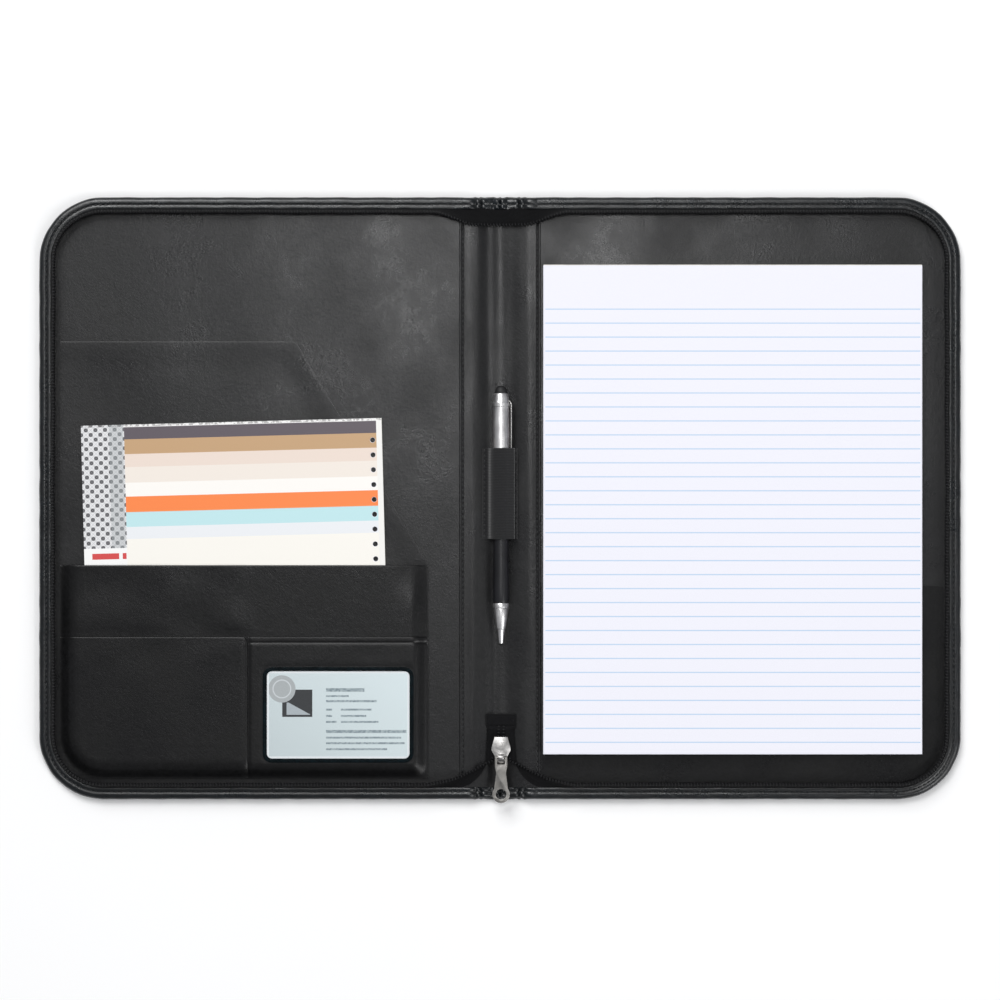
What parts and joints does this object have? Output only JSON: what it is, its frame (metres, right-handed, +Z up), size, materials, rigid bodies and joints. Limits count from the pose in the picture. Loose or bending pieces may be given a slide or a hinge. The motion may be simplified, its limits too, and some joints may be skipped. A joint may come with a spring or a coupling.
{
  "type": "portfolio case",
  "caption": "Zip-around portfolio case that opens flat, with a writing pad, a pen in an elastic loop, inside pockets, a notebook and a card window.",
  "frame": {"origin": "underside of the spine, halfway along it, with the case open and flat", "axes": "+X across to the fore edge of the back cover, +Y to the top edge, +Z up out of the opened case"},
  "size_m": [0.528, 0.3465, 0.0142],
  "materials": {
    "navy_leatherette": "fine-grained matt leatherette",
    "spine_leatherette": "coarse crackled leatherette",
    "lining_leatherette": "smooth cloudy leatherette",
    "binding_vinyl": "folded vinyl tape with a soft gloss",
    "zip_tape": "woven polyester tape",
    "zip_coil": "nylon coil",
    "elastic": "ribbed elastic",
    "foam": "closed-cell foam sheet",
    "board": "grey board",
    "nickel": "polished nickel plate",
    "pen_metal": "satin lacquered metal",
    "pen_grip": "black lacquer",
    "stylus_rubber": "soft black rubber",
    "paper": "ruled writing paper",
    "plain_paper": "plain paper",
    "backing_card": "grey chipboard",
    "pad_glue": "padding glue",
    "notebook_card": "striped cover card",
    "printed_card": "pale printed card",
    "clear_film": "clear vinyl film"
  },
  "bodies": {
    "back_cover": {"back_cover_skin": "navy_leatherette", "back_cover_foam": "foam", "back_cover_board": "board", "back_cover_lining": "lining_leatherette", "back_binding": "binding_vinyl", "back_zip_tape": "zip_tape", "back_zip_coil": "zip_coil", "back_spine_wing": "spine_leatherette", "back_hinge_lining": "lining_leatherette", "pad_slot_panel": "lining_leatherette"},
    "spine": {"spine_strip": "spine_leatherette", "spine_board": "board", "spine_lining": "lining_leatherette", "spine_binding_top": "binding_vinyl", "spine_binding_bottom": "binding_vinyl", "spine_zip_tape": "zip_tape", "zip_tape_tails": "zip_tape", "zip_end_tab": "zip_tape", "pen_loop": "elastic"},
    "front_cover": {"front_cover_skin": "navy_leatherette", "front_pocket_panel": "navy_leatherette", "front_cover_foam": "foam", "front_cover_board": "board", "front_cover_lining": "lining_leatherette", "front_binding": "binding_vinyl", "front_zip_tape": "zip_tape", "front_zip_coil": "zip_coil", "front_spine_wing": "spine_leatherette", "front_hinge_lining": "lining_leatherette", "document_pocket": "lining_leatherette", "middle_pocket": "lining_leatherette", "lower_pocket": "lining_leatherette", "card_pocket": "lining_leatherette", "card_window": "clear_film"},
    "slider": {"zip_slider": "nickel"},
    "pull": {"zip_pull": "nickel"},
    "pen": {"pen_upper_barrel": "pen_metal", "pen_clip": "pen_metal", "pen_stylus": "stylus_rubber"},
    "pen_tip": {"pen_lower_barrel": "pen_grip", "pen_cone": "pen_metal"},
    "refill": {"pen_refill": "nickel"},
    "writing_pad": {"pad_sheets": "paper", "pad_backing": "backing_card", "pad_glue_edge": "pad_glue"},
    "notebook": {"notebook_cover": "notebook_card", "notebook_pages": "plain_paper", "notebook_back": "notebook_card"},
    "card": {"business_card": "printed_card"}
  },
  "joints": [
    {"name": "spine_fold", "type": "hinge", "parent": "back_cover", "child": "spine", "pos_m": [0.011, 0, 0.003], "axis": [0, 1, 0], "range_deg": [0, 90]},
    {"name": "front_fold", "type": "hinge", "parent": "spine", "child": "front_cover", "pos_m": [-0.011, 0, 0.003], "axis": [0, 1, 0], "range_deg": [0, 90]},
    {"name": "slider_travel", "type": "slide", "parent": "spine", "child": "slider", "axis": [0, -1, 0], "range_m": [0, 0.012]},
    {"name": "pull_swing", "type": "hinge", "parent": "slider", "child": "pull", "pos_m": [0.0006, -0.148, 0.011], "axis": [-1, 0, 0], "range_deg": [0, 170]},
    {"name": "pen_draw", "type": "slide", "parent": "spine", "child": "pen", "axis": [0, 1, 0], "range_m": [0, 0.08]},
    {"name": "pen_twist", "type": "hinge", "parent": "pen", "child": "pen_tip", "pos_m": [0.0006, 0, 0.0082], "axis": [0, 1, 0], "range_deg": [0, 180]},
    {"name": "refill_feed", "type": "slide", "parent": "pen", "child": "refill", "axis": [0, -1, 0], "range_m": [0, 0.004]},
    {"name": "pad_draw", "type": "slide", "parent": "back_cover", "child": "writing_pad", "axis": [0, 1, 0], "range_m": [0, 0.024]},
    {"name": "notebook_draw", "type": "slide", "parent": "front_cover", "child": "notebook", "axis": [-0.0262, 0.9997, 0], "range_m": [0, 0.1]},
    {"name": "card_draw", "type": "slide", "parent": "front_cover", "child": "card", "axis": [0, 1, 0], "range_m": [0, 0.058]}
  ],
  "couplings": [
    {"joint": "refill_feed", "follows": "pen_twist", "m_per_rad": 0.0012732}
  ]
}
